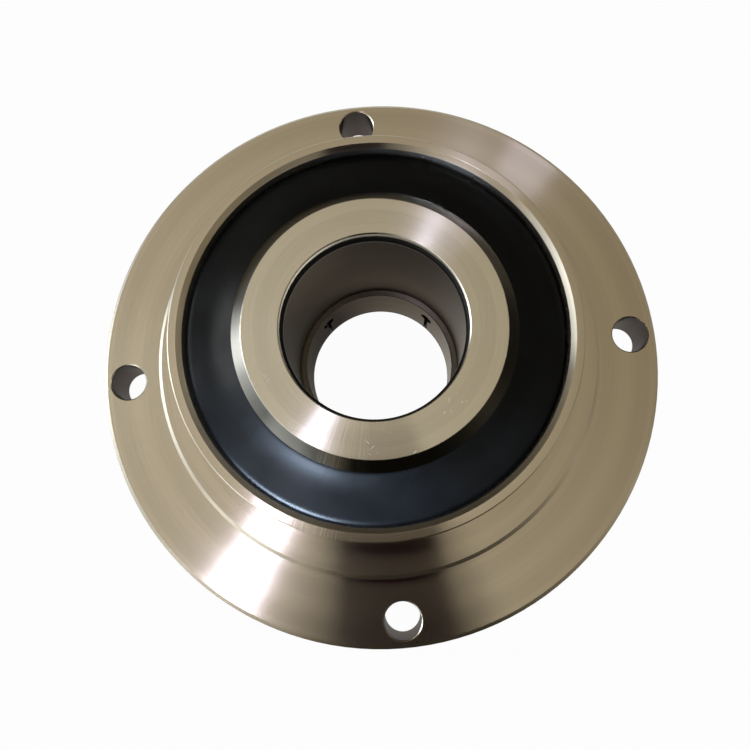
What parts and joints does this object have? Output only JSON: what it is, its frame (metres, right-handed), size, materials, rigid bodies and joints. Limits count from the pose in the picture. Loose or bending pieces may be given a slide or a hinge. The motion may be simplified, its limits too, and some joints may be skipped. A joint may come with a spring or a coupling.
{
  "type": "cartridge mechanical seal",
  "caption": "Flanged cartridge shaft seal: a turned steel gland with a stepped nose holds a spinning sleeve with a black elastomer shield, a front collar and a sprung seal face.",
  "frame": {"origin": "centre of the bolt circle on the flange's process-side face", "axes": "+Z along the shaft towards the process side (the nose); two bolt holes on X, two on Y"},
  "size_m": [0.22, 0.22, 0.094],
  "materials": {
    "turned_steel": "fine turned stainless steel",
    "collar_steel": "fine turned stainless steel",
    "bore_steel": "honed stainless steel",
    "screw_steel": "stainless steel",
    "spring_wire": "drawn wire",
    "shield_rubber": "smooth moulded satin black",
    "seal_rubber": "satin black",
    "face_ceramic": "lapped dark silicon carbide",
    "bush_plastic": "filled fluoropolymer"
  },
  "bodies": {
    "gland": {"gland_plate": "turned_steel", "back_plate": "turned_steel", "throttle_bush": "bush_plastic", "bush_snap_ring": "spring_wire", "plate_screws": "screw_steel", "port_plugs": "screw_steel", "springs": "spring_wire", "anti_rotation_pins": "screw_steel", "boss_o_ring": "seal_rubber", "back_plate_o_ring": "seal_rubber"},
    "seat": {"face_carrier": "bore_steel", "stationary_face": "face_ceramic", "seat_pins": "screw_steel", "carrier_o_ring": "seal_rubber", "stationary_face_o_ring": "seal_rubber"},
    "rotor": {"shaft_sleeve": "bore_steel", "front_collar": "collar_steel", "elastomer_shield": "shield_rubber", "rotor_head": "bore_steel", "rotary_face": "face_ceramic", "lock_collar": "turned_steel", "lock_screws": "screw_steel", "drive_pins": "screw_steel", "shaft_o_ring": "seal_rubber", "head_o_ring": "seal_rubber", "rotary_face_o_ring": "seal_rubber"}
  },
  "joints": [
    {"name": "rotor_spin", "type": "hinge", "parent": "gland", "child": "rotor", "pos_m": [0, 0, 0], "axis": [0, 0, 1], "continuous": true},
    {"name": "face_float", "type": "slide", "parent": "gland", "child": "seat", "axis": [0, 0, 1], "range_m": [-0.0025, 0], "stiffness_N_per_m": 16000, "springref_m": 0.003, "deforming": ["springs"]}
  ]
}
